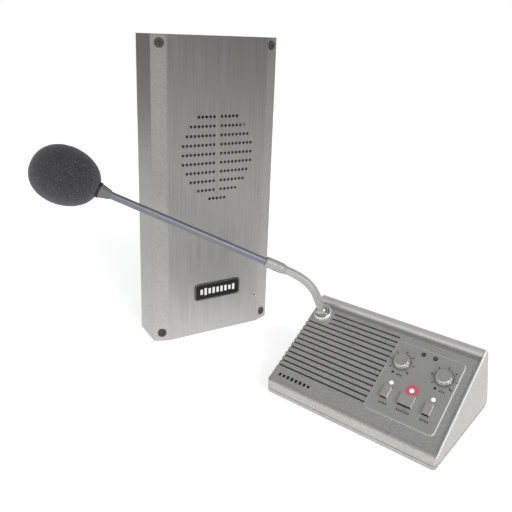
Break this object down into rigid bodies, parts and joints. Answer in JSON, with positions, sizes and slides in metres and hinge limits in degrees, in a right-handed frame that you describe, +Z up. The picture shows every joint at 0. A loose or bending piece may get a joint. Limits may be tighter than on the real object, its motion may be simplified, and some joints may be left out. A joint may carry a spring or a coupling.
{
  "type": "counter intercom",
  "caption": "Counter intercom: a sloped desk console with knobs, buttons, a grille and a gooseneck microphone, and a tall perforated metal speaker unit for the window's other side.",
  "frame": {"origin": "middle of the console's footprint, on the counter top", "axes": "+X to the console's right, -Y out of the console's front towards the clerk, +Z up"},
  "size_m": [0.323, 0.2383, 0.288],
  "materials": {
    "console_shell": "silver-grey painted, fine texture",
    "console_tray": "silver-grey painted, fine texture",
    "control_plate": "smooth satin overlay plate",
    "keys": "polished grey",
    "knobs": "bright silver-coated",
    "brushed": "vertically brushed",
    "back_sheet": "grey powder coat",
    "black_plastic": "moulded",
    "black_rubber": "moulded",
    "post_rod": "turned rod",
    "black_steel": "blackened steel screws",
    "bright_steel": "nickel plated",
    "neck_steel": "satin chromed ribbed neck",
    "rod_tube": "blue-grey anodised tube",
    "foam": "open-cell acoustic foam",
    "speaker_frame": "black stamped steel",
    "speaker_paper": "black pulp",
    "ferrite": null,
    "cloth": "black acoustic cloth",
    "circuit_board": "green solder mask",
    "lamp_white": "milky lens",
    "lamp_red": "lit red lens",
    "lamp_dark": "dark lens",
    "label_black": "black anodised plate"
  },
  "bodies": {
    "console": {"base_plate": "console_tray", "top_shell": "console_shell", "control_plate": "control_plate", "grille_cloth": "cloth", "speaker_basket": "speaker_frame", "speaker_cone": "speaker_paper", "speaker_magnet": "ferrite", "speaker_screws": "bright_steel", "control_board": "circuit_board", "board_screws": "bright_steel", "amplifier_board": "circuit_board", "left_potentiometer": "bright_steel", "right_potentiometer": "bright_steel", "potentiometer_nuts": "bright_steel", "button_switches": "black_plastic", "side_lights": "lamp_white", "centre_light": "lamp_red", "upper_lights": "lamp_dark", "power_socket": "black_plastic", "speaker_socket": "black_plastic", "rubber_feet": "black_rubber", "base_screws": "black_steel", "mic_ring": "bright_steel", "mic_nut": "bright_steel"},
    "left_knob": {"left_knob": "knobs", "left_shaft": "bright_steel"},
    "right_knob": {"right_knob": "knobs", "right_shaft": "bright_steel"},
    "left_button": {"left_button": "keys"},
    "centre_button": {"centre_button": "keys"},
    "right_button": {"right_button": "keys"},
    "mic_swivel_base": {"mic_dome": "bright_steel", "neck_foot": "neck_steel"},
    "neck_1": {"neck_link_1": "neck_steel"},
    "neck_2": {"neck_link_2": "neck_steel"},
    "neck_3": {"neck_link_3": "neck_steel"},
    "neck_4": {"neck_link_4": "neck_steel"},
    "neck_5": {"neck_link_5": "neck_steel", "neck_ferrule": "neck_steel", "boom_rod": "rod_tube", "foam_collar": "black_plastic", "capsule_housing": "rod_tube", "mic_capsule": "bright_steel", "foam_windscreen": "foam"},
    "wall_unit": {"wall_cover": "brushed", "wall_back_plate": "back_sheet", "cover_posts": "post_rod", "wall_screws": "black_steel", "wall_speaker_basket": "speaker_frame", "wall_speaker_cone": "speaker_paper", "wall_speaker_magnet": "ferrite", "wall_speaker_clamps": "bright_steel", "wall_dust_cloth": "cloth", "wall_mic_bushing": "bright_steel", "wall_mic_capsule": "bright_steel", "terminal_block": "black_plastic", "cable_grommet": "black_rubber", "name_plate": "label_black"}
  },
  "joints": [
    {"name": "left_knob_turn", "type": "hinge", "parent": "console", "child": "left_knob", "pos_m": [0.0203, -0.0019, 0.0441], "axis": [0, -0.5281, 0.8492], "range_deg": [-140, 140]},
    {"name": "right_knob_turn", "type": "hinge", "parent": "console", "child": "right_knob", "pos_m": [0.0553, -0.0019, 0.0441], "axis": [0, -0.5281, 0.8492], "range_deg": [-140, 140]},
    {"name": "left_button_press", "type": "slide", "parent": "console", "child": "left_button", "axis": [0, 0.5281, -0.8492], "range_m": [0, 0.0012], "stiffness_N_per_m": 900, "springref_m": -0.001},
    {"name": "centre_button_press", "type": "slide", "parent": "console", "child": "centre_button", "axis": [0, 0.5281, -0.8492], "range_m": [0, 0.0012], "stiffness_N_per_m": 900, "springref_m": -0.001},
    {"name": "right_button_press", "type": "slide", "parent": "console", "child": "right_button", "axis": [0, 0.5281, -0.8492], "range_m": [0, 0.0012], "stiffness_N_per_m": 900, "springref_m": -0.001},
    {"name": "mic_swivel", "type": "hinge", "parent": "console", "child": "mic_swivel_base", "pos_m": [-0.066, 0.01423, 0.05319], "axis": [0, -0.5281, 0.8492], "range_deg": [-2, 90]},
    {"name": "neck_bend_1", "type": "hinge", "parent": "mic_swivel_base", "child": "neck_1", "pos_m": [-0.066, -0.00082, 0.0774], "axis": [0.3907, -0.7817, -0.4862], "range_deg": [-10, 4]},
    {"name": "neck_bend_2", "type": "hinge", "parent": "neck_1", "child": "neck_2", "pos_m": [-0.06721, -0.00521, 0.08348], "axis": [0.3907, -0.7817, -0.4862], "range_deg": [-10, 4]},
    {"name": "neck_bend_3", "type": "hinge", "parent": "neck_2", "child": "neck_3", "pos_m": [-0.06961, -0.00984, 0.08901], "axis": [0.3907, -0.7817, -0.4862], "range_deg": [-10, 4]},
    {"name": "neck_bend_4", "type": "hinge", "parent": "neck_3", "child": "neck_4", "pos_m": [-0.07311, -0.01458, 0.09381], "axis": [0.3907, -0.7817, -0.4862], "range_deg": [-10, 4]},
    {"name": "neck_bend_5", "type": "hinge", "parent": "neck_4", "child": "neck_5", "pos_m": [-0.0776, -0.01928, 0.09775], "axis": [0.3907, -0.7817, -0.4862], "range_deg": [-10, 4]},
    {"name": "wall_unit_lift", "type": "slide", "parent": "console", "child": "wall_unit", "axis": [0, 0, 1], "range_m": [0, 0.15]}
  ],
  "couplings": [
    {"joint": "neck_bend_2", "follows": "neck_bend_1", "ratio": 1},
    {"joint": "neck_bend_3", "follows": "neck_bend_1", "ratio": 1},
    {"joint": "neck_bend_4", "follows": "neck_bend_1", "ratio": 1},
    {"joint": "neck_bend_5", "follows": "neck_bend_1", "ratio": 1}
  ]
}
